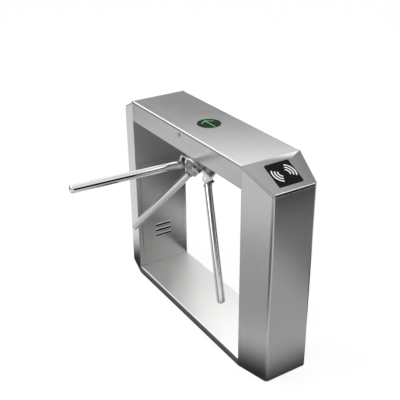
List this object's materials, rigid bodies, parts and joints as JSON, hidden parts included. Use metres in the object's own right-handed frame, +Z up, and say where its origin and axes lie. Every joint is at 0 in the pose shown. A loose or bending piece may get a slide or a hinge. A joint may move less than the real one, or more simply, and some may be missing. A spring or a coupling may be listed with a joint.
{
  "type": "tripod turnstile",
  "caption": "Tripod turnstile: sheet-steel bridge cabinet on legs, tilted hub with drop-down tube arms, reader plate on a sloped end and a round direction indicator in the lid.",
  "frame": {"origin": "on the floor, at the middle of the cabinet's length and width, which is the centre of both rectangles of anchor holes", "axes": "+X along the cabinet towards the leg with the reader plate, -Y towards the side that the arms bar, +Z up"},
  "size_m": [1.2, 0.8156, 0.9515],
  "materials": {
    "stainless_sheet": "satin brushed",
    "stainless_tube": "fine polished",
    "hub_alloy": "satin turned",
    "bright_steel": "bright",
    "lock_chrome": "polished",
    "zinc_fastener": "zinc plated",
    "black_gloss": "gloss",
    "arrow_green": "clear diffusing",
    "circuit_board": "solder mask",
    "black_matt": "fine texture",
    "black_rubber": "matt",
    "chassis_paint": "powder coat",
    "motor_black": "satin paint",
    "galvanised": "galvanised",
    "brass": "machined",
    "button_red": "gloss"
  },
  "bodies": {
    "cabinet": {"base_tray": "stainless_sheet", "near_leg_shell": "stainless_sheet", "far_leg_shell": "stainless_sheet", "foot_plates": "galvanised", "bridge_beam": "stainless_sheet", "frame_bolts": "zinc_fastener", "near_leg_front": "stainless_sheet", "far_leg_front": "stainless_sheet", "lid_strike": "galvanised", "hinge_pins": "bright_steel", "conduit_grommets": "black_rubber", "power_supply": "galvanised", "control_board": "circuit_board", "board_standoffs": "brass", "counter_case": "black_matt", "chassis": "chassis_paint", "bearing_outer_rings": "bright_steel", "bearing_balls": "bright_steel", "encoder_sensor": "black_matt", "drive_plate": "galvanised", "drive_motor": "motor_black", "lock_solenoid": "motor_black"},
    "lid_body": {"lid": "stainless_sheet", "lid_lock_barrel": "lock_chrome", "indicator_lens": "black_gloss", "indicator_board": "circuit_board", "arrow_lamps": "arrow_green", "reader_plate": "black_gloss", "reader_module": "black_matt"},
    "lid_key": {"lid_lock_plug": "lock_chrome"},
    "near_door_body": {"near_door": "stainless_sheet", "near_door_lock_barrel": "lock_chrome"},
    "near_door_key": {"near_door_lock_plug": "lock_chrome"},
    "far_door_body": {"far_door": "stainless_sheet", "far_door_lock_barrel": "lock_chrome"},
    "far_door_key": {"far_door_lock_plug": "lock_chrome"},
    "reset_button_body": {"counter_reset_button": "button_red"},
    "hub_body": {"main_shaft": "bright_steel", "hub": "hub_alloy", "hub_nut": "zinc_fastener", "hub_cap": "hub_alloy", "bearing_inner_rings": "bright_steel", "lock_disc": "bright_steel", "drive_gear": "brass", "encoder_disc": "black_matt", "arm_brackets": "hub_alloy", "bracket_screws": "zinc_fastener", "pivot_pins": "bright_steel", "arm_detents": "bright_steel"},
    "arm_1": {"arm_root_1": "hub_alloy", "arm_tube_1": "stainless_tube", "arm_cap_1": "stainless_tube"},
    "arm_2": {"arm_root_2": "hub_alloy", "arm_tube_2": "stainless_tube", "arm_cap_2": "stainless_tube"},
    "arm_3": {"arm_root_3": "hub_alloy", "arm_tube_3": "stainless_tube", "arm_cap_3": "stainless_tube"},
    "pinion_body": {"motor_pinion": "bright_steel"},
    "bolt_body": {"lock_bolt": "bright_steel"}
  },
  "joints": [
    {"name": "hub_spin", "type": "hinge", "parent": "cabinet", "child": "hub_body", "pos_m": [0, -0.022, 0.791], "axis": [0, 0.7254, 0.6884], "continuous": true},
    {"name": "arm_1_drop", "type": "hinge", "parent": "hub_body", "child": "arm_1", "pos_m": [0, -0.12197, 0.79362], "axis": [1, 0, 0], "range_deg": [0, 90]},
    {"name": "arm_2_drop", "type": "hinge", "parent": "hub_body", "child": "arm_2", "pos_m": [-0.06124, -0.04895, 0.71668], "axis": [-0.5, -0.5961, 0.6282], "range_deg": [0, 18]},
    {"name": "arm_3_drop", "type": "hinge", "parent": "hub_body", "child": "arm_3", "pos_m": [0.06124, -0.04895, 0.71668], "axis": [-0.5, 0.5961, -0.6282], "range_deg": [0, 18]},
    {"name": "motor_pinion_spin", "type": "hinge", "parent": "cabinet", "child": "pinion_body", "pos_m": [0.06, 0.09116, 0.89838], "axis": [0, 0.7254, 0.6884], "continuous": true},
    {"name": "lock_bolt_slide", "type": "slide", "parent": "cabinet", "child": "bolt_body", "axis": [1, 0, 0], "range_m": [0, 0.006], "stiffness_N_per_m": 200, "springref_m": -0.004},
    {"name": "lid_hinge", "type": "hinge", "parent": "cabinet", "child": "lid_body", "pos_m": [0, 0.1473, 0.903], "axis": [-1, 0, 0], "range_deg": [0, 75]},
    {"name": "lid_key_turn", "type": "hinge", "parent": "lid_body", "child": "lid_key", "pos_m": [-0.02, -0.1425, 0.923], "axis": [0, 1, 0], "range_deg": [0, 90]},
    {"name": "near_door_hinge", "type": "hinge", "parent": "cabinet", "child": "near_door_body", "pos_m": [0.449, 0.108, 0.3715], "axis": [0, 0, -1], "range_deg": [0, 100]},
    {"name": "near_door_key_turn", "type": "hinge", "parent": "near_door_body", "child": "near_door_key", "pos_m": [0.445, -0.1, 0.33], "axis": [1, 0, 0], "range_deg": [0, 90]},
    {"name": "far_door_hinge", "type": "hinge", "parent": "cabinet", "child": "far_door_body", "pos_m": [-0.449, 0.108, 0.3715], "axis": [0, 0, 1], "range_deg": [0, 100]},
    {"name": "far_door_key_turn", "type": "hinge", "parent": "far_door_body", "child": "far_door_key", "pos_m": [-0.445, -0.1, 0.33], "axis": [1, 0, 0], "range_deg": [0, 90]},
    {"name": "counter_reset_press", "type": "slide", "parent": "cabinet", "child": "reset_button_body", "axis": [0, 0, -1], "range_m": [0, 0.002], "stiffness_N_per_m": 400, "springref_m": -0.002}
  ],
  "couplings": [
    {"joint": "motor_pinion_spin", "follows": "hub_spin", "ratio": -3}
  ]
}
